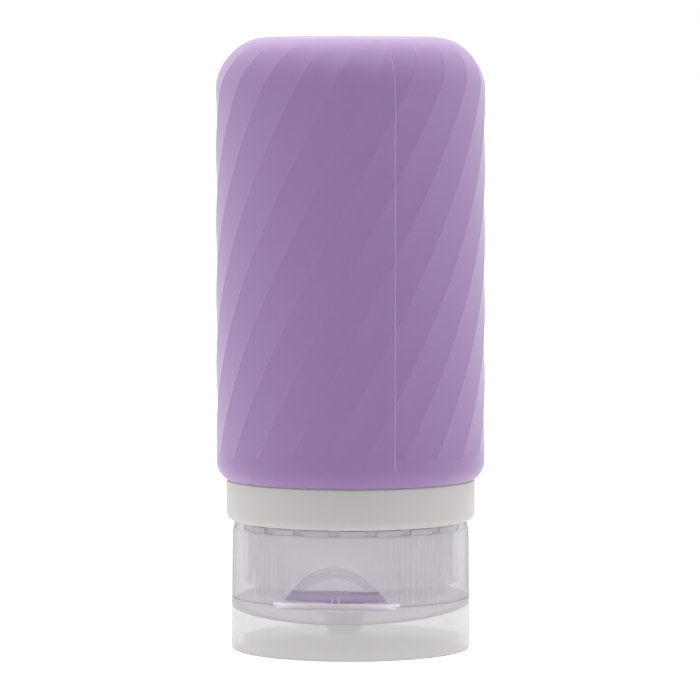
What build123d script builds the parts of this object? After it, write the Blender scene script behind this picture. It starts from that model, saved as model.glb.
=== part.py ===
from build123d import *
import math
import os

# Travel silicone bottle, modelled standing upside-down on its closed flip lid.
# Millimetres, +Z up. Origin: centre of the lid's flat standing face.
# The thumb recess and nozzle face -Y, the lid's hinge is at +Y.

# Silicone bottle
body_radius = 20.1
total_height = 91.5
body_wall = 2.0
base_round = 7.95
flute_count = 22
flute_depth = 0.18
flute_twist_per_mm = 1.54
flute_start_angle = 6.2
flute_start = 1.3
flute_section_height = 5.0
shoulder_round = 3.3
shoulder_round_height = 2.8
shoulder_thickness = 2.4
shoulder_slope_height = 3.2
mouth_radius = 10.5
neck_wall = 1.5
lip_clearance = 0.35
lip_height = 3.2
lip_corner = 0.5
neck_fit = 0.05

# Rigid collar with the neck's outside thread
collar_radius = 18.65
collar_height = 6.0
collar_low_corner = 1.2
collar_top_corner = 0.4
collar_wall = 1.6
sleeve_wall = 1.25
sleeve_length = 12.95

# Screw thread shared by the collar's sleeve and the cap
thread_pitch = 2.6
thread_depth = 0.8
thread_root_width = 1.15
thread_crest_width = 0.6
thread_crest_gap = 0.15
thread_sink = 0.25
neck_thread_turns = 1.5
cap_thread_turns = 2.5
thread_start_angle = -82.0

# Cap: ribbed outer skirt, inner threaded ring, deck and nozzle
skirt_gap = 0.75
skirt_wall = 1.5
rib_count = 120
rib_low_height = 0.28
rib_high_height = 0.16
rib_land_share = 0.3
rib_length = 10.4
rim_height = 0.95
rim_inset = 0.12
rim_tab_count = 20
rim_slot_share = 0.31
rim_slot_depth = 0.75
flange_proud = 0.3
flange_top = 7.9
deck_level = 7.0
deck_thickness = 1.3
inner_ring_wall = 1.1
inner_ring_height = 9.5
web_height = 1.9
spigot_wall = 1.1
spigot_drop = 0.45
spigot_fit = 0.2

# Slanted line where the lid meets the cap
parting_level = 7.16
parting_front_drop = 1.63
parting_gap = 0.1

# Thumb recess in the front of the skirt
recess_height = 7.5
recess_depth = 2.44
recess_ledge = 7.4
recess_back_wall = 0.9
pip_width = 0.35
pip_spacing = 1.0
pip_height = 1.2
pip_rise = 0.8
pip_proud = 0.25

# Nozzle, off the axis towards the front
nozzle_offset = 6.9
nozzle_radius = 2.57
nozzle_tip_level = 3.3
nozzle_tip_round = 0.6
nozzle_bore = 1.7
nozzle_boss_wall = 0.95
nozzle_boss_drop = 0.9
nozzle_boss_slope = 1.1

# Slit valve and the ring that holds it in the nozzle's seat
valve_radius = 2.75
valve_rim_thickness = 0.8
valve_skin = 0.4
valve_skin_radius = 1.8
slit_length = 2.4
slit_width = 0.1
valve_fit = 0.05
retainer_height = 0.8
retainer_wall = 0.95

# Seal between the bottle's lip and the cap's deck
seal_thickness = 0.95
seal_width = 3.4
seal_fit = 0.25
seal_gap = 0.05

# Flip lid
lid_inset = 0.05
lid_wall = 1.35
lid_floor = 1.3
lid_corner = 0.5
plug_base_radius = 2.35
plug_base_gap = 0.15
plug_root_radius = 1.6
plug_tip_radius = 1.2
plug_length = 1.35

# Hinge at the back
hinge_width = 9.0
hinge_film_thickness = 0.3
hinge_film_length = 1.2
hinge_proud = 0.25
hinge_boss_height = 2.2
hinge_boss_depth = 1.25

overrun = 5.0

# Levels and radii that follow from the sizes above
deck_top = deck_level + deck_thickness
seal_low = deck_top + seal_gap
lip_low = seal_low + seal_thickness + seal_gap
sleeve_low = lip_low + lip_height
collar_low = sleeve_low + sleeve_length - collar_height
collar_top = collar_low + collar_height
neck_radius = mouth_radius + neck_wall
sleeve_bore = neck_radius + neck_fit
sleeve_radius = sleeve_bore + sleeve_wall
neck_crest_radius = sleeve_radius + thread_depth
cap_bore = neck_crest_radius + thread_crest_gap
lip_radius = cap_bore - thread_depth - lip_clearance
inner_ring_radius = cap_bore + inner_ring_wall
skirt_bore = inner_ring_radius + skirt_gap
skirt_radius = skirt_bore + skirt_wall
flange_radius = skirt_radius + flange_proud
lid_radius = flange_radius - lid_inset
hinge_offset = lid_radius + hinge_proud
parting_slope = parting_front_drop / lid_radius
spigot_radius = lid_radius - lid_wall - spigot_fit
web_top = deck_top + web_height
rib_top = flange_top + rib_length
skirt_top = rib_top + rim_height
hinge_level = parting_level + parting_slope * hinge_offset
flute_low = collar_top + shoulder_round_height + flute_start
valve_seat_level = deck_top - retainer_height - valve_rim_thickness


UPRIGHT = (Align.CENTER, Align.CENTER, Align.MIN)


def ring(outer, inner, low, high):
    """A plain tube about the Z axis between two levels."""
    tall = high - low
    tube = Cylinder(outer, tall, align=UPRIGHT)
    if inner > 0:
        tube -= Cylinder(inner, tall, align=UPRIGHT)
    return Pos(0, 0, low) * tube


def parting_block(offset, side):
    """Everything on one side of the slanted parting plane, shifted up by offset."""
    size = 3 * body_radius
    plane = Plane(origin=(0, 0, parting_level + offset), x_dir=(1, 0, 0), z_dir=(0, -parting_slope, 1))
    return plane * Box(size, size, size, align=(Align.CENTER, Align.CENTER, side))


def thread_ridge(root_radius, crest_radius, first_level, turns, start_angle):
    """A right-hand helical ridge with a trapezoid section."""
    path = Helix(thread_pitch, thread_pitch * turns, root_radius)
    start = Plane(origin=path @ 0, x_dir=(1, 0, 0), z_dir=path % 0)
    crest = crest_radius - root_radius
    sink = -math.copysign(thread_sink, crest)
    flank = (thread_root_width - thread_crest_width) / 2 * thread_sink / abs(crest)
    half_root = thread_root_width / 2 + flank
    half_crest = thread_crest_width / 2
    section = Polyline(
        (sink, -half_root), (crest, -half_crest), (crest, half_crest), (sink, half_root), close=True
    )
    ridge = sweep(start * make_face(section), path=path, is_frenet=True)
    return Pos(0, 0, first_level) * Rot(0, 0, start_angle) * ridge


def flute_section(level):
    """One level of the twisted prism whose flat sides are the flutes."""
    flat_radius = body_radius - flute_depth
    corner_radius = flat_radius / math.cos(math.pi / flute_count)
    start = flute_start_angle + flute_twist_per_mm * (level - flute_low)
    points = []
    for number in range(flute_count):
        angle = math.radians(start + number * 360 / flute_count)
        points.append((corner_radius * math.cos(angle), corner_radius * math.sin(angle), level))
    return Wire.make_polygon(points, close=True)


def fluted_envelope():
    """Twisted prism round the bottle above the flutes' start, and a plain cylinder below it."""
    tall = total_height + overrun - flute_low
    count = math.ceil(tall / flute_section_height)
    sections = [flute_section(flute_low + tall * number / count) for number in range(count + 1)]
    below = ring(body_radius + overrun, 0, lip_low - overrun, flute_low)
    return Solid.make_loft(sections) + below


def make_bottle_body():
    """Soft hollow bottle: fluted wall, rounded base, neck and the lip over the collar's sleeve."""
    inner_radius = body_radius - body_wall
    inner_round = base_round - body_wall
    arc_level = collar_top + shoulder_round_height
    foot = body_radius - shoulder_round + math.sqrt(shoulder_round**2 - shoulder_round_height**2)
    neck_top = collar_top + shoulder_thickness
    outline = Polyline(
        (0, total_height - body_wall),
        (0, total_height),
        (body_radius - base_round, total_height),
    )
    outline += RadiusArc(
        (body_radius - base_round, total_height), (body_radius, total_height - base_round), base_round
    )
    outline += Line((body_radius, total_height - base_round), (body_radius, arc_level))
    outline += RadiusArc((body_radius, arc_level), (foot, collar_top), shoulder_round)
    outline += Polyline(
        (foot, collar_top),
        (neck_radius, collar_top),
        (neck_radius, sleeve_low),
        (lip_radius, sleeve_low),
        (lip_radius, lip_low + lip_corner),
    )
    outline += RadiusArc((lip_radius, lip_low + lip_corner), (lip_radius - lip_corner, lip_low), lip_corner)
    outline += Polyline(
        (lip_radius - lip_corner, lip_low),
        (mouth_radius, lip_low),
        (mouth_radius, neck_top),
        (inner_radius, neck_top + shoulder_slope_height),
        (inner_radius, total_height - base_round),
    )
    outline += RadiusArc(
        (inner_radius, total_height - base_round),
        (inner_radius - inner_round, total_height - body_wall),
        -inner_round,
    )
    outline += Line((inner_radius - inner_round, total_height - body_wall), (0, total_height - body_wall))
    return revolve(Plane.XZ * make_face(outline), Axis.Z) & fluted_envelope()


def make_neck_collar():
    """Milky collar band, top web and the threaded sleeve round the soft neck."""
    band_bore = collar_radius - collar_wall
    web_low = collar_top - collar_wall
    outline = Polyline(
        (sleeve_bore, sleeve_low),
        (sleeve_radius, sleeve_low),
        (sleeve_radius, web_low),
        (band_bore, web_low),
        (band_bore, collar_low),
        (collar_radius - collar_low_corner, collar_low),
    )
    outline += RadiusArc(
        (collar_radius - collar_low_corner, collar_low),
        (collar_radius, collar_low + collar_low_corner),
        -collar_low_corner,
    )
    outline += Line(
        (collar_radius, collar_low + collar_low_corner), (collar_radius, collar_top - collar_top_corner)
    )
    outline += RadiusArc(
        (collar_radius, collar_top - collar_top_corner),
        (collar_radius - collar_top_corner, collar_top),
        -collar_top_corner,
    )
    outline += Polyline(
        (collar_radius - collar_top_corner, collar_top),
        (sleeve_bore, collar_top),
        (sleeve_bore, sleeve_low),
    )
    collar = revolve(Plane.XZ * make_face(outline), Axis.Z)
    first = sleeve_low + thread_root_width
    angle = thread_start_angle + 360 * (first - neck_thread_phase()) / thread_pitch
    return collar + thread_ridge(sleeve_radius, neck_crest_radius, first, neck_thread_turns, angle)


def cap_thread_level():
    """Level of the cap thread's first turn, where its start angle holds."""
    return lip_low + thread_root_width / 2


def neck_thread_phase():
    """The collar's thread runs half a pitch away from the cap's."""
    return cap_thread_level() + thread_pitch / 2


def ribbed_skirt():
    """Outer skirt between the flange and the rim, with its upright grip ribs."""
    def star(crest, level):
        step = 360 / rib_count
        land = step * rib_land_share / 2
        flank = step / 4
        points = []
        for number in range(rib_count):
            middle = number * step
            for turn, radius in (
                (-flank - land / 2, skirt_radius),
                (-land, crest),
                (land, crest),
                (flank + land / 2, skirt_radius),
            ):
                angle = math.radians(middle + turn)
                points.append((radius * math.cos(angle), radius * math.sin(angle), level))
        return Wire.make_polygon(points, close=True)

    low = star(skirt_radius + rib_low_height, flange_top)
    high = star(skirt_radius + rib_high_height, rib_top)
    return Solid.make_loft([low, high], ruled=True)


def rim_slots():
    """Gaps that leave the skirt's top rim as a ring of short tabs."""
    width = 2 * math.pi * skirt_radius / rim_tab_count * rim_slot_share
    slot = Box(2 * skirt_wall + overrun, width, 2 * rim_slot_depth)
    return [
        Rot(0, 0, number * 360 / rim_tab_count) * Pos(skirt_radius, 0, skirt_top) * slot
        for number in range(rim_tab_count)
    ]


def recess_wedge(inset, low):
    """The space in front of the slanted thumb recess, moved in by inset, above a level."""
    slope = recess_depth / recess_height
    apex = recess_ledge + recess_height
    face = flange_radius - inset
    outside = flange_radius + overrun
    outline = Polyline(
        (-(face - (apex - low) * slope), low),
        (-outside, low),
        (-outside, apex + (outside - face) / slope),
        close=True,
    )
    return extrude(Plane.YZ * make_face(outline), amount=body_radius, both=True)


def recess_pips():
    """Two small upright ribs low on the recess's slanted face."""
    slope = recess_depth / recess_height
    low = recess_ledge + pip_rise
    depth = flange_radius - (recess_height - pip_rise) * slope
    pip = Box(pip_width, 2 * pip_proud + pip_height * slope, pip_height, align=UPRIGHT)
    return [Pos(side * pip_spacing / 2, -depth, low) * pip for side in (-1, 1)]


def nozzle():
    """Nozzle with its boss below the deck, still solid."""
    boss_radius = valve_radius + nozzle_boss_wall
    boss_low = deck_level - nozzle_boss_drop
    outline = Polyline(
        (0, deck_level + deck_thickness / 2),
        (boss_radius, deck_level + deck_thickness / 2),
        (boss_radius, boss_low),
        (nozzle_radius, boss_low - nozzle_boss_slope),
        (nozzle_radius, nozzle_tip_level + nozzle_tip_round),
    )
    outline += RadiusArc(
        (nozzle_radius, nozzle_tip_level + nozzle_tip_round),
        (nozzle_radius - nozzle_tip_round, nozzle_tip_level),
        nozzle_tip_round,
    )
    outline += Polyline(
        (nozzle_radius - nozzle_tip_round, nozzle_tip_level),
        (0, nozzle_tip_level),
        (0, deck_level + deck_thickness / 2),
    )
    return Pos(0, -nozzle_offset, 0) * revolve(Plane.XZ * make_face(outline), Axis.Z)


def nozzle_bores():
    """The nozzle's bore and the wider seat for the valve."""
    bore = ring(nozzle_bore, 0, nozzle_tip_level - overrun, deck_top + overrun)
    seat = ring(valve_radius, 0, valve_seat_level, deck_top + overrun)
    return Pos(0, -nozzle_offset, 0) * (bore + seat)


def hinge_boss(low, high):
    """Block on the back wall that carries one edge of the hinge film."""
    back = hinge_offset + hinge_film_thickness / 2
    block = Box(hinge_width, hinge_boss_depth, high - low, align=(Align.CENTER, Align.MAX, Align.MIN))
    return Pos(0, back, low) * block


def cap_shell():
    """Outer wall: castellated rim, ribs and the smooth flange cut along the parting."""
    rim = ring(skirt_radius - rim_inset, skirt_bore, rib_top, skirt_top)
    for slot in rim_slots():
        rim -= slot
    shell = ribbed_skirt()
    shell += ring(flange_radius, 0, parting_level - parting_front_drop - overrun, flange_top)
    shell &= parting_block(0, Align.MIN)
    shell -= ring(skirt_bore, 0, deck_level - overrun, skirt_top + overrun)
    return shell + rim


def cap_core():
    """Deck, web, threaded inner ring, spigot, nozzle and the wall behind the recess."""
    core = ring(spigot_radius, 0, deck_level, deck_top)
    core += ring(spigot_radius, cap_bore, deck_top, web_top)
    core += ring(inner_ring_radius, cap_bore, web_top, deck_top + inner_ring_height)
    spigot = ring(spigot_radius, spigot_radius - spigot_wall, deck_level - overrun, deck_level)
    core += spigot & parting_block(-spigot_drop, Align.MIN)
    core += nozzle()
    core -= nozzle_bores()
    wall_middle = (skirt_radius + skirt_bore) / 2
    back = ring(wall_middle, cap_bore, deck_top, rib_top)
    core += recess_wedge(recess_back_wall, deck_top) & back
    ridge = thread_ridge(
        cap_bore, cap_bore - thread_depth, cap_thread_level(), cap_thread_turns, thread_start_angle
    )
    return core + ridge


def make_cap_base():
    """Cap with ribbed skirt, inner threaded ring, deck, nozzle and thumb recess."""
    cap = cap_shell() + cap_core()
    cap -= recess_wedge(0, recess_ledge)
    edge = hinge_level + hinge_film_length / 2
    return cap + [*recess_pips(), hinge_boss(edge, edge + hinge_boss_height)]


def make_seal_ring():
    """Flat silicone washer between the bottle's lip and the cap's deck."""
    radius = cap_bore - seal_fit
    return ring(radius, radius - seal_width, seal_low, seal_low + seal_thickness)


def make_drip_valve():
    """Silicone disc with a thin cross-slit middle, seated at the root of the nozzle."""
    low = valve_seat_level
    radius = valve_radius - valve_fit
    disc = ring(radius, 0, low, low + valve_rim_thickness - valve_fit)
    disc -= ring(valve_skin_radius, 0, low + valve_skin, low + valve_rim_thickness)
    for turn in (0, 90):
        disc -= Pos(0, 0, low) * Rot(0, 0, turn) * Box(slit_length, slit_width, 2 * valve_rim_thickness)
    return Pos(0, -nozzle_offset, 0) * disc


def make_valve_retainer():
    """Ring pressed into the seat behind the valve, flush with the deck."""
    radius = valve_radius - valve_fit
    low = deck_top - retainer_height
    return Pos(0, -nozzle_offset, 0) * ring(radius, radius - retainer_wall, low, deck_top)


def make_flip_lid():
    """Hollow lid with the pin that plugs the nozzle and its half of the hinge."""
    top = hinge_level + overrun
    cup = ring(lid_radius, 0, 0, top)
    cup = fillet(cup.edges().group_by(Axis.Z)[0], lid_corner)
    cup -= ring(lid_radius - lid_wall, 0, lid_floor, top)
    cup &= parting_block(-parting_gap, Align.MAX)
    base_top = nozzle_tip_level - plug_base_gap
    plug = ring(plug_base_radius, 0, lid_floor / 2, base_top)
    plug += Pos(0, 0, base_top) * Cone(plug_root_radius, plug_tip_radius, plug_length, align=UPRIGHT)
    lid = cup + Pos(0, -nozzle_offset, 0) * plug
    edge = hinge_level - hinge_film_length / 2
    return lid + hinge_boss(edge - hinge_boss_height, edge)


def make_hinge_film():
    """Thin film that joins the cap's and the lid's hinge blocks."""
    film = Box(hinge_width, hinge_film_thickness, hinge_film_length)
    return Pos(0, hinge_offset, hinge_level) * film


pieces = {
    "bottle_body": make_bottle_body(),
    "neck_collar": make_neck_collar(),
    "cap_base": make_cap_base(),
    "seal_ring": make_seal_ring(),
    "drip_valve": make_drip_valve(),
    "valve_retainer": make_valve_retainer(),
    "flip_lid": make_flip_lid(),
    "hinge_film": make_hinge_film(),
}

os.makedirs("parts", exist_ok=True)
for name, shape in pieces.items():
    export_step(shape, f"parts/{name}.step")
    print(name, len(shape.solids()), "solid, volume", round(shape.volume, 1), "valid", shape.is_valid)
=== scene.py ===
import bmesh
import bpy
import math
from mathutils import Matrix, Vector


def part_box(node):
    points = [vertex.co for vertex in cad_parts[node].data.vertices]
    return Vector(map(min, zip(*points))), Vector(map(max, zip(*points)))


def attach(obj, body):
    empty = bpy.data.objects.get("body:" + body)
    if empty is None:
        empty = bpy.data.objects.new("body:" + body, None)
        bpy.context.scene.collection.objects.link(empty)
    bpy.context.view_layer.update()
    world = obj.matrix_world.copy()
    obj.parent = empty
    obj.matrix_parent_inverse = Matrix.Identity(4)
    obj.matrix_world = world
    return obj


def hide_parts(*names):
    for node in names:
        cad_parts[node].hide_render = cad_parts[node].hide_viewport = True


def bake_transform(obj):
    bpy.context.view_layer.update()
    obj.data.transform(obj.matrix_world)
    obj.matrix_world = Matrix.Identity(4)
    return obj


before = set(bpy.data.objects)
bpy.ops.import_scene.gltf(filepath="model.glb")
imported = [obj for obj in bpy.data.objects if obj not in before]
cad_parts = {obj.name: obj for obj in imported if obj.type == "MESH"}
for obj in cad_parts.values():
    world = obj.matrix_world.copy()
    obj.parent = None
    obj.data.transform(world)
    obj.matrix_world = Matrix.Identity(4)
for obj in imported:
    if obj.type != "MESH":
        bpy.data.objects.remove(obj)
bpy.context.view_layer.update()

# Lengths below are in millimetres, as in the part's own source, and MM turns them into metres.
MM = 0.001


def node_box(name):
    """Lowest and highest corner of a node in millimetres."""
    low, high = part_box(name)
    return low / MM, high / MM


bottle_low, bottle_high = node_box("bottle_body")
collar_box_low, collar_box_high = node_box("neck_collar")
_, cap_box_high = node_box("cap_base")
seal_box_low, seal_box_high = node_box("seal_ring")
valve_box_low, valve_box_high = node_box("drip_valve")
_, lid_box_high = node_box("flip_lid")
film_box_low, film_box_high = node_box("hinge_film")

# Silicone bottle
body_radius = bottle_high.x
total_height = bottle_high.z
lip_low = bottle_low.z
body_wall = 2.0
base_round = 7.95
shoulder_round = 3.3
shoulder_round_height = 2.8
shoulder_thickness = 2.4
shoulder_slope_height = 3.2
shoulder_foot_gap = 0.12
shoulder_inner_round = 1.5
mouth_radius = 10.5
mouth_round = 1.0
neck_wall = 1.5
neck_corner_round = 0.3
lip_radius = 13.1
lip_round = 0.5
base_steps = 22
shoulder_steps = 8

# Twisted flutes. Each one's columns of points are shares of its width, close together at
# the narrow ridge (cusp) between two flutes, which stands out by the bead.
flute_count = 22
cusp_columns = [
    0, 0.013, 0.026, 0.039, 0.1, 0.23, 0.365, 0.5, 0.635, 0.77, 0.9, 0.961, 0.974, 0.987,
]
cusp_width = cusp_columns[3]
cusp_bead = 0.015
flute_row = 0.55
flute_depth = 0.155
flute_twist = 1.54
flute_phase = 5.9
flute_low = 29.4
flute_low_fade = 0.9
flute_high_fade = 2.5
flute_high_end = 0.6

# Mould line
mould_line_angle = -63.0
mould_line_width = 0.5
mould_line_height = 0.07
mould_line_root = 0.3
mould_line_arc_steps = 40
mould_line_arc_rows = 37

# Seal washer
seal_width = 3.4
seal_round = 0.2

# Slit valve
valve_inset = 0.02
valve_round = 0.15
valve_skin = 0.38
valve_skin_radius = 1.8
valve_skin_round = 0.1
slit_length = 2.4
slit_width = 0.1
slit_depth = 2.0

# Collar
collar_radius = collar_box_high.x
collar_top = collar_box_high.z
sleeve_low = collar_box_low.z
collar_gap = 0.06
collar_low_round = 1.2
collar_top_round = 0.4
collar_wall = 1.6
collar_web_round = 0.4
collar_edge_round = 0.2
sleeve_bore = 12.05
sleeve_radius = 13.3

# Thread on the collar's sleeve and inside the cap
thread_pitch = 2.6
thread_depth = 0.8
thread_root_width = 1.15
thread_crest_width = 0.6
thread_sink = 0.25
neck_thread_turns = 1.5
cap_thread_turns = 2.5
thread_start_angle = -82.0
thread_steps = 72

# Cap
cap_bore = 14.25
inner_ring_radius = 15.35
inner_ring_top = 17.8
deck_level = 7.0
deck_top = 8.3
web_top = 10.2
web_round = 0.3
inner_ring_round = 0.25
skirt_radius = 17.6
skirt_bore = 16.1
skirt_top = cap_box_high.z
rib_count = 120
rib_columns = 8
rib_end_rows = 4
rib_low_height = 0.2
rib_high_height = 0.13
rib_end = 0.35
rib_free_half = 18.0
rib_full_half = 34.0
flange_top = 7.9
rib_top = 18.3
flange_radius = 17.9
flange_round = 0.12
rim_inset = 0.12
rim_step = 0.05
rim_tab_count = 20
rim_slot_share = 0.31
rim_slot_depth = 0.75
rim_slot_margin = 0.01
rim_round = 0.15
rim_inner_round = 0.1
notch_radius = 17.2
notch_margin = 0.02
skirt_margin = 0.01
spigot_radius = 16.3
spigot_wall = 1.1
spigot_drop = 0.45
spigot_lip = 0.02

# Slanted line where the lid meets the cap
parting_level = 7.16
parting_front_drop = 1.63
parting_gap = 0.04

# Thumb recess
recess_height = 7.5
recess_depth = 2.44
recess_ledge = 7.4
recess_back_wall = 0.9
recess_back_sink = 0.5
recess_half_width = 9.3
pip_width = 0.35
pip_spacing = 1.0
pip_height = 1.2
pip_rise = 0.8
pip_proud = 0.12
pip_round = 0.08

# Nozzle
nozzle_offset = 6.9
nozzle_radius = 2.57
nozzle_tip_level = 3.3
nozzle_tip_round = 0.6
nozzle_bore = 1.7
valve_radius = 2.75
valve_seat_level = 6.7
nozzle_boss_radius = 3.7
nozzle_boss_low = 6.1
nozzle_boss_slope = 1.1
nozzle_boss_round = 0.2
nozzle_root_round = 0.3

# Lid
lid_radius = lid_box_high.x
lid_wall = 1.35
lid_floor = 1.3
lid_round = 0.5
lid_inner_round = 0.7
plug_sink = 0.5
plug_round = 0.2
plug_tip_round = 0.4
plug_base_radius = 2.35
plug_base_gap = 0.15
plug_root_radius = 1.6
plug_tip_radius = 1.2
plug_length = 1.35

# Hinge
hinge_width = 9.0
hinge_offset = (film_box_low.y + film_box_high.y) / 2
hinge_level = (film_box_low.z + film_box_high.z) / 2
hinge_film_length = film_box_high.z - film_box_low.z
hinge_film_thickness = film_box_high.y - film_box_low.y
hinge_boss_height = 2.2
hinge_boss_depth = 1.25
hinge_boss_round = 0.2
film_cuts = 11

# Faces that take a second look of their plastic, and how far they may lie from their surface
deck_margin = 0.1
thin_margin = 0.02
flange_margin = 0.05
wide_margin = 0.1
recess_depth_share = 0.7
nozzle_root_drop = 1.0

# Taken from the values above
base_corner = total_height - base_round
shoulder_arc_level = collar_top + shoulder_round_height
flute_period = 360 / flute_count
first_cap_thread = lip_low + thread_root_width / 2
parting_slope = parting_front_drop / lid_radius
recess_slope = recess_depth / recess_height
recess_apex = recess_ledge + recess_height

# Building: steps about an axis, angles above which an edge stays sharp, and slack in millimetres
round_steps = 192
nozzle_steps = 64
bore_steps = 54
plug_steps = 48
valve_steps = 72
sharp_angle = 35
joined_sharp_angle = 30
skin_sharp_angle = 60
overrun = 5.0
cut_slack = 0.0001
weld_slack = 0.0005


def rounded(corners, steps=6):
    """Outline points from (radius, height, rounding) corners, each rounding an arc."""
    points = []
    count = len(corners)
    for number, (radius, height, rounding) in enumerate(corners):
        corner = Vector((radius, height))
        if rounding <= 0:
            points.append(corner)
            continue
        before = (Vector(corners[number - 1][:2]) - corner).normalized()
        after = (Vector(corners[(number + 1) % count][:2]) - corner).normalized()
        half = before.angle(after) / 2
        reach = rounding / math.tan(half)
        centre = corner + (before + after).normalized() * rounding / math.sin(half)
        first = corner + before * reach - centre
        last = corner + after * reach - centre
        for step in range(steps + 1):
            points.append(centre + first.slerp(last, step / steps).normalized() * rounding)
    return points


def lathe(points, steps, closed=True):
    """An outline of (radius, height) points spun about the Z axis."""
    bm = bmesh.new()
    verts = [bm.verts.new((radius * MM, 0, height * MM)) for radius, height in points]
    edges = [bm.edges.new(pair) for pair in zip(verts, verts[1:])]
    if closed:
        edges.append(bm.edges.new((verts[-1], verts[0])))
    bmesh.ops.spin(
        bm, geom=verts + edges, cent=(0, 0, 0), axis=(0, 0, 1),
        angle=2 * math.pi, steps=steps, use_merge=True,
    )
    bmesh.ops.remove_doubles(bm, verts=bm.verts, dist=weld_slack * MM)
    bmesh.ops.recalc_face_normals(bm, faces=bm.faces)
    return bm


def new_piece(name, bm, sharp=sharp_angle):
    """Turns a bmesh into a smooth-shaded object with its sharp edges kept."""
    mesh = bpy.data.meshes.new(name)
    bm.to_mesh(mesh)
    bm.free()
    mesh.shade_smooth()
    mesh.set_sharp_from_angle(angle=math.radians(sharp))
    piece = bpy.data.objects.new(name, mesh)
    bpy.context.scene.collection.objects.link(piece)
    return piece


def combine(piece, other, operation):
    """Joins to a piece, or cuts from it, another closed mesh, which is then removed."""
    modifier = piece.modifiers.new("combine", "BOOLEAN")
    modifier.operation = operation
    modifier.solver = "EXACT"
    modifier.object = other
    graph = bpy.context.evaluated_depsgraph_get()
    mesh = bpy.data.meshes.new_from_object(piece.evaluated_get(graph))
    piece.modifiers.clear()
    old = piece.data
    piece.data = mesh
    mesh.name = piece.name
    bpy.data.meshes.remove(old)
    other_mesh = other.data
    bpy.data.objects.remove(other)
    bpy.data.meshes.remove(other_mesh)
    mesh.shade_smooth()
    mesh.set_sharp_from_angle(angle=math.radians(joined_sharp_angle))
    return piece


def joined(pieces):
    """Several closed meshes that don't meet, put into the first of them."""
    bm = bmesh.new()
    for piece in pieces:
        bm.from_mesh(piece.data)
    bm.to_mesh(pieces[0].data)
    bm.free()
    for piece in pieces[1:]:
        mesh = piece.data
        bpy.data.objects.remove(piece)
        bpy.data.meshes.remove(mesh)
    return pieces[0]


def block(name, size, centre, rounding=0.0):
    """A box of a given size in millimetres, its edges rounded."""
    bm = bmesh.new()
    bmesh.ops.create_cube(bm, size=1.0)
    bmesh.ops.scale(bm, vec=Vector(size) * MM, verts=bm.verts)
    if rounding:
        bmesh.ops.bevel(
            bm, geom=bm.edges[:], offset=rounding * MM, offset_type="OFFSET",
            segments=3, profile=0.5, affect="EDGES", material=-1,
        )
    bmesh.ops.translate(bm, vec=Vector(centre) * MM, verts=bm.verts)
    return new_piece(name, bm)


def moved(piece, shift):
    """Shifts a piece's mesh by millimetres."""
    piece.data.transform(Matrix.Translation(Vector(shift) * MM))
    return piece


def tube(name, outer, low, high, inner):
    """A plain tube about the Z axis."""
    corners = [(inner, low), (outer, low), (outer, high), (inner, high)]
    return new_piece(name, lathe(corners, round_steps))


def fade(value, low, high):
    """Rises smoothly from 0 at low to 1 at high."""
    share = min(max((value - low) / (high - low), 0.0), 1.0)
    return share * share * (3 - 2 * share)


def flute_fade(height):
    """How deep the flutes are at a height, from 0 to 1."""
    rise = fade(height, flute_low, flute_low + flute_low_fade)
    end = total_height - flute_high_end
    return rise * (1 - fade(height, end - flute_high_fade, end))


def flute_inset(turn, height):
    """Depth of the fluted surface below the round one, turn measured along the twist in degrees."""
    from_middle = (turn % flute_period) - flute_period / 2
    edge = math.cos(math.radians(flute_period / 2))
    share = (1 - edge / math.cos(math.radians(from_middle))) / (1 - edge)
    from_cusp = (flute_period / 2 - abs(from_middle)) / flute_period
    foot = fade(from_cusp, 0, cusp_width)
    return (cusp_bead * foot + (flute_depth - cusp_bead) * share) * flute_fade(height)


def twist_at(height):
    """Turn of the flutes at a height, in degrees."""
    return flute_twist * max(height - flute_low, 0.0) + flute_phase


def arc_points(centre, radius, first, last, steps):
    """Points along an arc of the outline, its angles in radians."""
    points = []
    for step in range(steps + 1):
        angle = first + (last - first) * step / steps
        points.append(centre + radius * Vector((math.cos(angle), math.sin(angle))))
    return points


def outer_wall_outline():
    """The base's rounding, close rows along the fluted wall and the shoulder's rounding."""
    centre = Vector((body_radius - base_round, base_corner))
    points = arc_points(centre, base_round, math.pi / 2, 0, base_steps)
    rows = round((base_corner - shoulder_arc_level) / flute_row)
    for step in range(1, rows):
        points.append(Vector((body_radius, base_corner - step * flute_row)))
    centre = Vector((body_radius - shoulder_round, shoulder_arc_level))
    last = -math.asin(shoulder_round_height / shoulder_round)
    return points + arc_points(centre, shoulder_round, 0, last, shoulder_steps)


def body_outline():
    """The bottle's closed outline, from its base down the outside and up the inside."""
    inner_radius = body_radius - body_wall
    shoulder_reach = math.sqrt(shoulder_round**2 - shoulder_round_height**2)
    foot = body_radius - shoulder_round + shoulder_reach - shoulder_foot_gap
    neck_radius = mouth_radius + neck_wall
    neck_top = collar_top + shoulder_thickness
    inside = rounded([
        (foot, collar_top, 0),
        (neck_radius, collar_top, neck_corner_round),
        (neck_radius, sleeve_low, 0),
        (lip_radius, sleeve_low, neck_corner_round),
        (lip_radius, lip_low, lip_round),
        (mouth_radius, lip_low, lip_round),
        (mouth_radius, neck_top, mouth_round),
        (inner_radius, neck_top + shoulder_slope_height, shoulder_inner_round),
        (inner_radius, total_height - body_wall, base_round - body_wall),
        (0, total_height - body_wall, 0),
    ])
    return [Vector((0, total_height))] + outer_wall_outline() + inside


def outside_wall(radius, height):
    """Whether a point of the bottle lies on the outer skin, above the shoulder."""
    if height < flute_low:
        return False
    if height > base_corner and radius > body_radius - base_round:
        from_centre = math.hypot(radius - body_radius + base_round, height - base_corner)
        return from_centre > base_round - body_wall / 2
    if height > base_corner:
        return height > total_height - body_wall / 2
    return radius > body_radius - body_wall / 2


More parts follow.
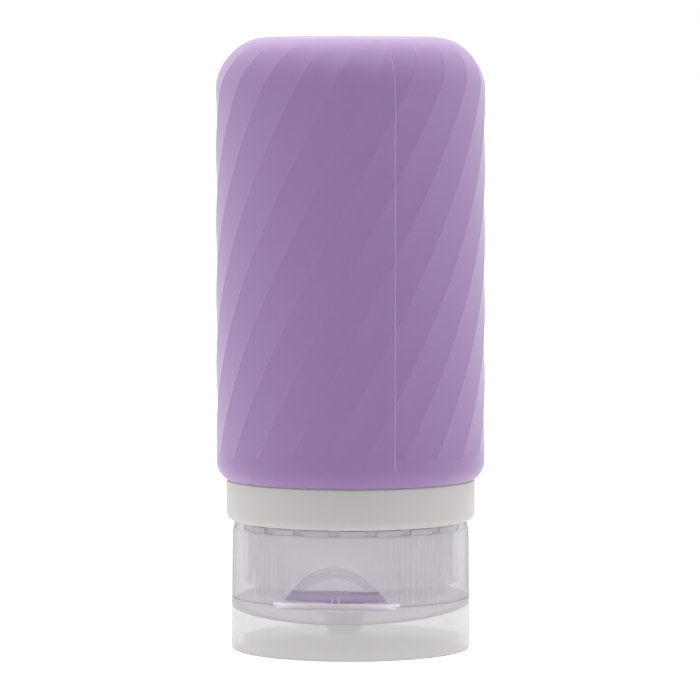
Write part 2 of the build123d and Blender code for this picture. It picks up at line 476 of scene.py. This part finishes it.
def beside_cusp(turn):
    """Moves an evenly spaced column, in degrees, so that the columns crowd at the cusps."""
    columns = len(cusp_columns)
    flute, column = divmod(round(turn / flute_period * columns), columns)
    return (flute + cusp_columns[column]) * flute_period


def make_bottle():
    """Silicone bottle with twisted flutes that fade out on its rounded base."""
    bm = lathe(body_outline(), flute_count * len(cusp_columns), closed=False)
    for vert in bm.verts:
        x, y, height = vert.co / MM
        radius = math.hypot(x, y)
        if radius == 0:
            continue
        turn = beside_cusp(math.degrees(math.atan2(y, x)))
        angle = math.radians(turn)
        if outside_wall(radius, height):
            radius -= flute_inset(turn, height)
            angle += math.radians(twist_at(height))
        vert.co = Vector((radius * math.cos(angle), radius * math.sin(angle), height)) * MM
    return new_piece("bottle_skin", bm, sharp=skin_sharp_angle)


def surface_radius(angle, height):
    """Radius of the bottle's fluted skin at an angle in degrees and a height."""
    radius = body_radius
    if height > base_corner:
        radius += math.sqrt(max(base_round**2 - (height - base_corner) ** 2, 0)) - base_round
    return radius - flute_inset(angle - twist_at(height), height)


def make_mould_line(name, angle):
    """Fine raised line that the two halves of the mould leave along the bottle."""
    row = flute_row / 2
    rows = int((base_corner - shoulder_arc_level) / row)
    heights = [shoulder_arc_level + step * row for step in range(rows)]
    for step in range(mould_line_arc_rows):
        heights.append(base_corner + base_round * math.sin(math.pi / 2 * step / mould_line_arc_steps))
    half = math.degrees(mould_line_width / 2 / body_radius)
    bm = bmesh.new()
    bmesh.ops.create_grid(bm, x_segments=2, y_segments=len(heights) - 1, size=1.0)
    for vert in bm.verts:
        height = heights[round((vert.co.y + 1) / 2 * (len(heights) - 1))]
        turn = angle + vert.co.x * half
        proud = mould_line_height * (1 - 2 * abs(vert.co.x))
        radius = surface_radius(turn, height) + proud
        around = math.radians(turn)
        vert.co = Vector((radius * math.cos(around), radius * math.sin(around), height)) * MM
    bmesh.ops.recalc_face_normals(bm, faces=bm.faces)
    bmesh.ops.solidify(bm, geom=bm.faces[:], thickness=mould_line_root * MM)
    bmesh.ops.recalc_face_normals(bm, faces=bm.faces)
    return new_piece(name, bm)


def thread_piece(name, root_radius, crest_radius, first_level, turns, start_angle):
    """Right-hand helical ridge: its section spun about the axis while it climbs."""
    crest = crest_radius - root_radius
    sink = -math.copysign(thread_sink, crest)
    flank = (thread_root_width - thread_crest_width) / 2 * thread_sink / abs(crest)
    half_root = thread_root_width / 2 + flank
    half_crest = thread_crest_width / 2
    bm = bmesh.new()
    section = [(sink, -half_root), (crest, -half_crest), (crest, half_crest), (sink, half_root)]
    verts = [bm.verts.new(((root_radius + x) * MM, 0, (first_level + z) * MM)) for x, z in section]
    face = bm.faces.new(verts)
    steps = round(thread_steps * turns)
    bmesh.ops.spin(
        bm, geom=[face], cent=(0, 0, 0), axis=(0, 0, 1), angle=2 * math.pi * turns,
        dvec=(0, 0, thread_pitch * turns / steps * MM), steps=steps, use_merge=False,
    )
    turned = Matrix.Rotation(math.radians(start_angle), 3, "Z")
    bmesh.ops.rotate(bm, verts=bm.verts, cent=(0, 0, 0), matrix=turned)
    bmesh.ops.recalc_face_normals(bm, faces=bm.faces)
    return new_piece(name, bm)


def make_collar():
    """Milky collar band with its top web and the threaded sleeve."""
    band_bore = collar_radius - collar_wall
    web_low = collar_top - collar_wall
    collar_low = skirt_top + collar_gap
    outline = rounded([
        (sleeve_bore, sleeve_low, collar_edge_round),
        (sleeve_radius, sleeve_low, collar_edge_round),
        (sleeve_radius, web_low, collar_web_round),
        (band_bore, web_low, collar_web_round),
        (band_bore, collar_low, collar_edge_round),
        (collar_radius, collar_low, collar_low_round),
        (collar_radius, collar_top, collar_top_round),
        (sleeve_bore, collar_top, collar_edge_round),
    ])
    collar = new_piece("collar_band", lathe(outline, round_steps))
    first = sleeve_low + thread_root_width
    angle = thread_start_angle + 360 * (first - first_cap_thread - thread_pitch / 2) / thread_pitch
    ridge = thread_piece(
        "neck_ridge", sleeve_radius, sleeve_radius + thread_depth, first, neck_thread_turns, angle
    )
    return combine(collar, ridge, "UNION")


def slanted_cut(bm, offset, keep_below):
    """Cuts a spun wall along the slanted parting plane and closes the cut."""
    normal = Vector((0, -parting_slope, 1)).normalized()
    point = Vector((0, 0, parting_level + offset)) * MM
    cut = bmesh.ops.bisect_plane(
        bm, geom=bm.verts[:] + bm.edges[:] + bm.faces[:], dist=cut_slack * MM, plane_co=point,
        plane_no=normal, clear_outer=keep_below, clear_inner=not keep_below,
    )
    edges = [e for e in cut["geom_cut"] if isinstance(e, bmesh.types.BMEdge) and e.is_boundary]
    bmesh.ops.bridge_loops(bm, edges=edges)
    bmesh.ops.recalc_face_normals(bm, faces=bm.faces)


def rib_height(angle, height):
    """How far the grip ribs stand out at an angle in degrees and a height."""
    low_end = fade(height, flange_top, flange_top + rib_end)
    high_end = 1 - fade(height, rib_top - rib_end, rib_top)
    along = (height - flange_top) / (rib_top - flange_top)
    tall = rib_low_height + (rib_high_height - rib_low_height) * along
    wave = 0.5 + 0.5 * math.cos(math.radians(angle * rib_count))
    beside_recess = fade(abs(angle + 90), rib_free_half, rib_full_half)
    return tall * wave * low_end * high_end * beside_recess


def in_rim_slot(angle):
    """Whether an angle in degrees lies in one of the gaps between the rim's tabs."""
    period = 360 / rim_tab_count
    from_slot = (angle + period / 2) % period - period / 2
    return abs(from_slot) < period * rim_slot_share / 2


def split_across(piece, level):
    """Splits the faces that cross a level, so that each side can have its own material."""
    bm = bmesh.new()
    bm.from_mesh(piece.data)
    bmesh.ops.bisect_plane(
        bm, geom=bm.verts[:] + bm.edges[:] + bm.faces[:], dist=cut_slack * MM,
        plane_co=(0, 0, level * MM), plane_no=(0, 0, 1),
    )
    bm.to_mesh(piece.data)
    bm.free()
    return piece


def cap_wall_outline(flange_low):
    """Closed outline of the cap's outer wall: flange, ribbed skirt and rim."""
    steps = rib_end_rows
    rows = [flange_top + rib_end * step / steps for step in range(1, steps + 1)]
    rows += [rib_top - rib_end * (steps - step) / steps for step in range(steps + 1)]
    outline = rounded([
        (skirt_bore, flange_low, 0),
        (flange_radius, flange_low, 0),
        (flange_radius, flange_top, flange_round),
        (skirt_radius, flange_top, 0),
    ], steps=3)
    outline += [Vector((skirt_radius, row)) for row in rows]
    outline += rounded([
        (skirt_radius - rim_inset, rib_top + rim_step, 0),
        (skirt_radius - rim_inset, skirt_top, rim_round),
        (notch_radius + rim_step, skirt_top, 0),
        (notch_radius, skirt_top, 0),
        (skirt_bore, skirt_top, rim_inner_round),
        (skirt_bore, flange_low, 0),
    ], steps=3)[:-1]
    return outline


def cap_wall():
    """Outer wall of the cap with its ribs and the rim's slots, cut off along the parting."""
    flange_low = parting_level - parting_front_drop - overrun
    rim_low = skirt_top - rim_round - rim_slot_margin
    bm = lathe(cap_wall_outline(flange_low), rib_count * rib_columns)
    for vert in bm.verts:
        x, y, height = vert.co / MM
        radius = math.hypot(x, y)
        angle = math.degrees(math.atan2(y, x))
        on_rim = height > rim_low and radius > notch_radius + notch_margin
        if on_rim and in_rim_slot(angle):
            vert.co.z -= rim_slot_depth * MM
        elif abs(radius - skirt_radius) < skirt_margin and flange_top < height < rib_top:
            vert.co.xy *= (radius + rib_height(angle, height)) / radius
    slanted_cut(bm, 0, False)
    return new_piece("cap_shell", bm)


def cap_core():
    """Deck, web, inner ring and the spigot that ends along the slanted parting."""
    spigot_low = parting_level - overrun
    bore = spigot_radius - spigot_wall
    outline = rounded([
        (0, deck_level, 0),
        (bore, deck_level, 0),
        (bore, spigot_low, 0),
        (spigot_radius, spigot_low, 0),
        (spigot_radius, web_top, 0),
        (inner_ring_radius, web_top, web_round),
        (inner_ring_radius, inner_ring_top, inner_ring_round),
        (cap_bore, inner_ring_top, inner_ring_round),
        (cap_bore, deck_top, web_round),
        (0, deck_top, 0),
    ], steps=4)
    bm = lathe(outline, round_steps, closed=False)
    for vert in bm.verts:
        _, y, height = vert.co / MM
        if height < spigot_low + spigot_lip:
            slanted = parting_level - spigot_drop + parting_slope * y
            vert.co.z = min(slanted, deck_level - spigot_lip) * MM
    return new_piece("cap_core", bm)


def nozzle_body():
    """Nozzle with its boss, still solid."""
    middle = (deck_level + deck_top) / 2
    outline = rounded([
        (0, middle, 0),
        (nozzle_boss_radius, middle, 0),
        (nozzle_boss_radius, nozzle_boss_low, nozzle_boss_round),
        (nozzle_radius, nozzle_boss_low - nozzle_boss_slope, nozzle_root_round),
        (nozzle_radius, nozzle_tip_level, nozzle_tip_round),
        (0, nozzle_tip_level, 0),
    ], steps=5)
    nozzle = new_piece("nozzle", lathe(outline, nozzle_steps, closed=False))
    return moved(nozzle, (0, -nozzle_offset, 0))


def nozzle_bores():
    """The nozzle's bore and the wider seat behind it for the valve."""
    low = nozzle_tip_level - overrun
    high = deck_top + overrun
    outline = [
        (0, low),
        (nozzle_bore, low),
        (nozzle_bore, valve_seat_level),
        (valve_radius, valve_seat_level),
        (valve_radius, high),
        (0, high),
    ]
    bores = new_piece("bores", lathe(outline, bore_steps, closed=False))
    return moved(bores, (0, -nozzle_offset, 0))


def recess_wedge(inset, low):
    """The space in front of the slanted thumb recess, moved in by inset, above a level."""
    face = flange_radius - inset
    outside = flange_radius + overrun
    corners = [
        (-(face - (recess_apex - low) * recess_slope), low),
        (-outside, low),
        (-outside, recess_apex + (outside - face) / recess_slope),
    ]
    bm = bmesh.new()
    verts = [bm.verts.new((-body_radius * MM, y * MM, z * MM)) for y, z in corners]
    grown = bmesh.ops.extrude_face_region(bm, geom=[bm.faces.new(verts)])
    verts = [part for part in grown["geom"] if isinstance(part, bmesh.types.BMVert)]
    bmesh.ops.translate(bm, vec=(2 * body_radius * MM, 0, 0), verts=verts)
    bmesh.ops.recalc_face_normals(bm, faces=bm.faces)
    return new_piece("recess_wedge", bm)


def recess_back():
    """Arched wall behind the recess."""
    middle = (skirt_radius + skirt_bore) / 2
    inner = (inner_ring_radius + cap_bore) / 2
    back = tube("recess_back", middle, web_top - recess_back_sink, rib_top, inner)
    return combine(back, recess_wedge(recess_back_wall, deck_top), "INTERSECT")


def recess_pip(side):
    """One of the two small upright ribs low on the recess's slanted face."""
    low = recess_ledge + pip_rise
    depth = flange_radius - (recess_height - pip_rise) * recess_slope
    size = (pip_width, 2 * pip_proud + pip_height * recess_slope, pip_height)
    centre = (side * pip_spacing / 2, -depth, low + pip_height / 2)
    return block("pip", size, centre, pip_round)


def hinge_block(name, low, high):
    """Block on the back wall that carries one edge of the hinge film."""
    back = hinge_offset + hinge_film_thickness / 2
    size = (hinge_width, hinge_boss_depth, high - low)
    centre = (0, back - hinge_boss_depth / 2, (low + high) / 2)
    return block(name, size, centre, hinge_boss_round)


def cap_inside():
    """Deck, inner ring with its thread, the wall behind the recess and the bored nozzle."""
    core = cap_core()
    combine(core, recess_back(), "UNION")
    ridge = thread_piece(
        "cap_ridge", cap_bore, cap_bore - thread_depth, first_cap_thread, cap_thread_turns,
        thread_start_angle,
    )
    combine(core, ridge, "UNION")
    combine(core, nozzle_body(), "UNION")
    return combine(core, nozzle_bores(), "DIFFERENCE")


def make_cap():
    """Cap with ribs, castellated rim, thumb recess, inner ring, deck and nozzle."""
    cap = cap_wall()
    combine(cap, cap_inside(), "UNION")
    combine(cap, recess_wedge(0, recess_ledge), "DIFFERENCE")
    edge = hinge_level + hinge_film_length / 2
    details = joined([
        recess_pip(-1),
        recess_pip(1),
        hinge_block("cap_hinge_block", edge, edge + hinge_boss_height),
    ])
    return split_across(combine(cap, details, "UNION"), deck_top + deck_margin)


def in_recess_front(x, y, width):
    """Whether a point lies in the front part of the cap that holds the recess."""
    return y < -recess_depth_share * cap_bore and abs(x) <= width


def in_recess_wall(x, y, z):
    """Whether a point lies on the thin wall between the recess and the thread bore."""
    if not in_recess_front(x, y, recess_half_width) or not deck_top + deck_margin < z < recess_apex:
        return False
    behind_face = y + flange_radius - (recess_apex - z) * recess_slope
    return abs(behind_face) < thin_margin or math.hypot(x, y) < inner_ring_radius + wide_margin


def in_recess_foot(x, y, z):
    """Whether a point lies on the recess's ledge or on the deck's height of its slanted face."""
    if not in_recess_front(x, y, recess_half_width + wide_margin):
        return False
    low_enough = recess_ledge - thin_margin < z < deck_top + deck_margin
    return low_enough and math.hypot(x, y) < flange_radius - flange_margin


def in_nozzle(x, y, z):
    """Whether a point lies on the outside of the nozzle, which hangs into the lid."""
    from_axis = math.hypot(x, y + nozzle_offset)
    return z < deck_level - nozzle_root_drop and from_axis < nozzle_radius + flange_margin


def in_skirt_bore(x, y, z):
    """Whether a point lies on the inner face of the cap's outer wall."""
    return z > web_top + flange_margin and abs(math.hypot(x, y) - skirt_bore) < wide_margin


def in_lid_hollow(x, y, z):
    """Whether a point lies on the inner face of the lid's wall."""
    from_wall = abs(math.hypot(x, y) - lid_radius + lid_wall)
    return z > lid_floor + wide_margin and from_wall < wide_margin


def set_faces(piece, material, tests):
    """Gives the faces whose middles pass one of the tests a second look of the same plastic."""
    piece.data.materials.append(material)
    for polygon in piece.data.polygons:
        middle = polygon.center / MM
        if any(test(*middle) for test in tests):
            polygon.material_index = len(piece.data.materials) - 1


def make_plug():
    """Pin on the lid's floor that closes the nozzle."""
    base_top = nozzle_tip_level - plug_base_gap
    outline = rounded([
        (0, lid_floor - plug_sink, 0),
        (plug_base_radius, lid_floor - plug_sink, 0),
        (plug_base_radius, base_top, plug_round),
        (plug_root_radius, base_top, 0),
        (plug_tip_radius, base_top + plug_length, plug_tip_round),
        (0, base_top + plug_length, 0),
    ], steps=5)
    plug = new_piece("plug", lathe(outline, plug_steps, closed=False))
    return moved(plug, (0, -nozzle_offset, 0))


def make_lid():
    """Hollow lid with a slanted rim, the nozzle's plug and its hinge block."""
    rim = hinge_level + overrun
    outline = rounded([
        (0, 0, 0),
        (lid_radius, 0, lid_round),
        (lid_radius, rim, 0),
        (lid_radius - lid_wall, rim, 0),
        (lid_radius - lid_wall, lid_floor, lid_inner_round),
        (0, lid_floor, 0),
    ], steps=8)
    bm = lathe(outline, round_steps, closed=False)
    slanted_cut(bm, -parting_gap, True)
    lid = new_piece("lid_shell", bm)
    combine(lid, make_plug(), "UNION")
    edge = hinge_level - hinge_film_length / 2
    combine(lid, hinge_block("lid_hinge_block", edge - hinge_boss_height, edge), "UNION")
    return lid


def make_seal():
    """Flat silicone washer with softened edges."""
    inner = seal_box_high.x - seal_width
    outline = rounded([
        (inner, seal_box_low.z, seal_round),
        (seal_box_high.x, seal_box_low.z, seal_round),
        (seal_box_high.x, seal_box_high.z, seal_round),
        (inner, seal_box_high.z, seal_round),
    ], steps=4)
    return new_piece("seal_washer", lathe(outline, round_steps))


def make_valve():
    """Silicone disc with a thin middle that is slit crosswise."""
    radius = valve_box_high.x - valve_inset
    low = valve_box_low.z + valve_inset
    high = valve_box_high.z - valve_inset
    outline = rounded([
        (0, low, 0),
        (radius, low, valve_round),
        (radius, high, valve_round),
        (valve_skin_radius, high, valve_round),
        (valve_skin_radius, low + valve_skin, valve_skin_round),
        (0, low + valve_skin, 0),
    ], steps=4)
    valve = new_piece("slit_valve", lathe(outline, valve_steps, closed=False))
    for length, width in ((slit_length, slit_width), (slit_width, slit_length)):
        slit = block("slit", (length, width, slit_depth), (0, 0, low))
        combine(valve, slit, "DIFFERENCE")
    return moved(valve, (0, -nozzle_offset, 0))


def make_film():
    """Living hinge: a thin strip, divided into rows along its length."""
    bm = bmesh.new()
    bmesh.ops.create_cube(bm, size=1.0)
    size = Vector((hinge_width, hinge_film_thickness, hinge_film_length))
    bmesh.ops.scale(bm, vec=size * MM, verts=bm.verts)
    half = hinge_film_length / 2
    upright = []
    for edge in bm.edges:
        first, last = edge.verts
        if abs(first.co.z - last.co.z) > half * MM:
            upright.append(edge)
    bmesh.ops.subdivide_edges(bm, edges=upright, cuts=film_cuts, use_grid_fill=True)
    bmesh.ops.translate(bm, vec=Vector((0, hinge_offset, hinge_level)) * MM, verts=bm.verts)
    film = new_piece("living_hinge", bm)
    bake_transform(film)
    return film


# Materials

def base_material(name, color, roughness):
    """A Principled material and its shader node."""
    material = bpy.data.materials.new(name)
    material.use_nodes = True
    shader = material.node_tree.nodes["Principled BSDF"]
    shader.inputs["Base Color"].default_value = (*color, 1.0)
    shader.inputs["Roughness"].default_value = roughness
    return material, shader


def add_grain(material, shader, scale, strength, distance):
    """Fine moulded grain as bump, from noise on object coordinates."""
    nodes = material.node_tree.nodes
    links = material.node_tree.links
    coords = nodes.new("ShaderNodeTexCoord")
    noise = nodes.new("ShaderNodeTexNoise")
    noise.inputs["Scale"].default_value = scale
    noise.inputs["Detail"].default_value = 4.0
    bump = nodes.new("ShaderNodeBump")
    bump.inputs["Strength"].default_value = strength
    bump.inputs["Distance"].default_value = distance * MM
    links.new(coords.outputs["Object"], noise.inputs["Vector"])
    links.new(noise.outputs["Fac"], bump.inputs["Height"])
    links.new(bump.outputs["Normal"], shader.inputs["Normal"])


def silicone_material(name, color, spread):
    """Matte silicone with a soft bloom at grazing angles; light spreads inside it."""
    material, shader = base_material(name, color, 0.55)
    shader.inputs["Sheen Weight"].default_value = 0.3
    shader.inputs["Sheen Roughness"].default_value = 0.5
    shader.inputs["Subsurface Weight"].default_value = 1.0 if spread else 0.0
    shader.inputs["Subsurface Radius"].default_value = (1.0, 0.8, 1.0)
    shader.inputs["Subsurface Scale"].default_value = spread * MM
    add_grain(material, shader, 4000, 0.15, 0.05)
    return material


def milky_plastic(name, color, haze, spread=0.0):
    """Milky polypropylene; haze is how much one face hides, spread how far light runs inside."""
    material, shader = base_material(name, color, 0.5)
    shader.inputs["Alpha"].default_value = haze
    shader.inputs["IOR"].default_value = 1.49
    shader.inputs["Specular IOR Level"].default_value = 0.03
    shader.inputs["Subsurface Weight"].default_value = 1.0 if spread else 0.0
    shader.inputs["Subsurface Radius"].default_value = (1.0, 1.0, 1.0)
    shader.inputs["Subsurface Scale"].default_value = spread * MM
    add_grain(material, shader, 3000, 0.1, 0.03)
    return material


def dress(piece, material, body=None, nodes=()):
    """Gives a piece its material and, if given, its body, and hides the CAD nodes that it stands for.
    """
    piece.data.materials.clear()
    piece.data.materials.append(material)
    if body:
        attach(piece, body)
    if nodes:
        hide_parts(*nodes)
    return piece


silicone = silicone_material("lilac_silicone", (0.248, 0.14, 0.325), 1.0)
# Painted highlight: the mould lines' silicone is a lighter copy of the bottle's, with no light spread
# inside it, so that the raised line reads light.
mould_line_painted_highlight = silicone_material("lilac_mould_line_painted_highlight", (0.29, 0.175, 0.37), 0.0)
seal_silicone = silicone_material("purple_seal_silicone", (0.36, 0.14, 0.6), 0.3)
cap_plastic = milky_plastic("cap_plastic", (0.58, 0.555, 0.59), 0.66)
clear_cap_plastic = milky_plastic("clear_cap_plastic", (0.9, 0.84, 0.93), 0.22)
# Painted light: the recess's foot gets an opaque copy of the cap's plastic with a lighter base
# colour. The lighter colour stands for light that reaches this shaded corner through the plastic.
painted_light_foot_plastic = milky_plastic("painted_light_foot_plastic", (0.71, 0.66, 0.72), 1.0)
# Painted shade: the nozzle's outside gets a dark base colour that stands for the shade it sits in
# inside the lid. The plastic is the same as the cap's, not darker or thicker.
painted_shade_nozzle_plastic = milky_plastic("painted_shade_nozzle_plastic", (0.22, 0.2, 0.23), 1.0)
lid_plastic = milky_plastic("lid_plastic", (0.69, 0.665, 0.67), 0.64)
clear_lid_plastic = milky_plastic("clear_lid_plastic", (0.68, 0.655, 0.66), 0.03)
collar_plastic = milky_plastic("collar_plastic", (0.47, 0.455, 0.45), 1.0, 0.5)

dress(make_bottle(), silicone, "bottle", ["bottle_body"])
for side, angle in (("front", mould_line_angle), ("back", mould_line_angle + 180)):
    line = make_mould_line("mould_line_" + side, angle)
    dress(line, mould_line_painted_highlight, "bottle")
dress(make_collar(), collar_plastic, "bottle", ["neck_collar"])
lid_shell = dress(make_lid(), lid_plastic, "lid", ["flip_lid"])
set_faces(lid_shell, clear_lid_plastic, [in_lid_hollow])
cap_shell = dress(make_cap(), cap_plastic, "cap", ["cap_base"])
set_faces(cap_shell, clear_cap_plastic, [in_recess_wall, in_skirt_bore])
# Painted shade on the nozzle's outside.
set_faces(cap_shell, painted_shade_nozzle_plastic, [in_nozzle])
# Painted light on the recess's ledge and the foot of its slanted face.
set_faces(cap_shell, painted_light_foot_plastic, [in_recess_foot])
dress(make_seal(), seal_silicone, "seal", ["seal_ring"])
dress(make_film(), lid_plastic, None, ["hinge_film"])
dress(make_valve(), seal_silicone, "cap", ["drip_valve"])
dress(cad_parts["valve_retainer"], cap_plastic)


# Stage, light and camera; the camera's distances are in millimetres and its lens in pixels
world_level = 0.9
world_level_seen = 1.0
floor_glow = 0.22
floor_glow_seen = 0.42
floor_half_size = 4.0
floor_drop = 0.02
camera_azimuth = 8.0
camera_distance = 819.0
camera_height = 101.3
camera_focal_pixels = 5486.0
photo_width = 700.0
photo_horizon = -28.8
photo_centre_shift = 0.6
sensor_width = 36.0
side_angle = 88
side_size = (0.12, 0.5)
side_power = 0.25
lamp_distance = 0.5


def seen_level(tree, socket, level, seen):
    """Sets a strength that is one level for lighting and another for what the camera sees."""
    path = tree.nodes.new("ShaderNodeLightPath")
    choice = tree.nodes.new("ShaderNodeMapRange")
    choice.inputs["To Min"].default_value = level
    choice.inputs["To Max"].default_value = seen
    tree.links.new(path.outputs["Is Camera Ray"], choice.inputs["Value"])
    tree.links.new(choice.outputs["Result"], socket)


def make_floor():
    """Pale floor whose lit part reads as white to the camera and keeps the shadow."""
    bm = bmesh.new()
    bmesh.ops.create_grid(bm, x_segments=1, y_segments=1, size=floor_half_size)
    bmesh.ops.translate(bm, vec=(0, 0, -floor_drop * MM), verts=bm.verts)
    floor = new_piece("floor", bm)
    material, shader = base_material("pale_floor", (0.85, 0.85, 0.85), 1.0)
    shader.inputs["Emission Color"].default_value = (1, 1, 1, 1)
    seen_level(material.node_tree, shader.inputs["Emission Strength"], floor_glow, floor_glow_seen)
    floor.data.materials.append(material)


def make_world():
    """White surroundings, brighter to the camera than they light the object."""
    world = bpy.data.worlds.new("white_room")
    bpy.context.scene.world = world
    world.use_nodes = True
    background = world.node_tree.nodes["Background"]
    background.inputs["Color"].default_value = (1, 1, 1, 1)
    seen_level(world.node_tree, background.inputs["Strength"], world_level, world_level_seen)


def area_light(name, azimuth, elevation, size, power):
    """Soft rectangular lamp that looks at the bottle's middle."""
    lamp = bpy.data.lights.new(name, "AREA")
    lamp.shape = "RECTANGLE"
    lamp.size, lamp.size_y = size
    lamp.energy = power
    holder = bpy.data.objects.new(name, lamp)
    bpy.context.scene.collection.objects.link(holder)
    around = math.radians(azimuth)
    up = math.radians(elevation)
    target = Vector((0, 0, total_height / 2 * MM))
    away = Vector((math.sin(around) * math.cos(up), -math.cos(around) * math.cos(up), math.sin(up)))
    holder.location = target + away * lamp_distance
    holder.rotation_euler = (-away).to_track_quat("-Z", "Y").to_euler()


def make_camera():
    """The photograph's viewpoint: a long lens a little above the bottle's base."""
    lens = bpy.data.cameras.new("camera")
    lens.sensor_width = sensor_width
    lens.lens = camera_focal_pixels / photo_width * sensor_width
    camera = bpy.data.objects.new("camera", lens)
    bpy.context.scene.collection.objects.link(camera)
    around = math.radians(camera_azimuth)
    across = math.sin(around) * camera_distance
    along = -math.cos(around) * camera_distance
    camera.location = Vector((across, along, camera_height)) * MM
    drop = math.atan((photo_width / 2 - photo_horizon) / camera_focal_pixels)
    aim = math.atan(photo_centre_shift / camera_focal_pixels)
    camera.rotation_euler = (math.pi / 2 - drop, 0, around + aim)
    bpy.context.scene.camera = camera


make_floor()
make_world()
area_light("left_box", camera_azimuth - side_angle, 15, side_size, side_power)
area_light("right_box", camera_azimuth + side_angle, 15, side_size, side_power)
area_light("top_box", camera_azimuth, 92, (0.4, 0.4), 1.7)
area_light("back_box", camera_azimuth + 180, 50, (0.5, 0.3), 0.7)
make_camera()
bpy.context.scene.view_settings.view_transform = "Standard"
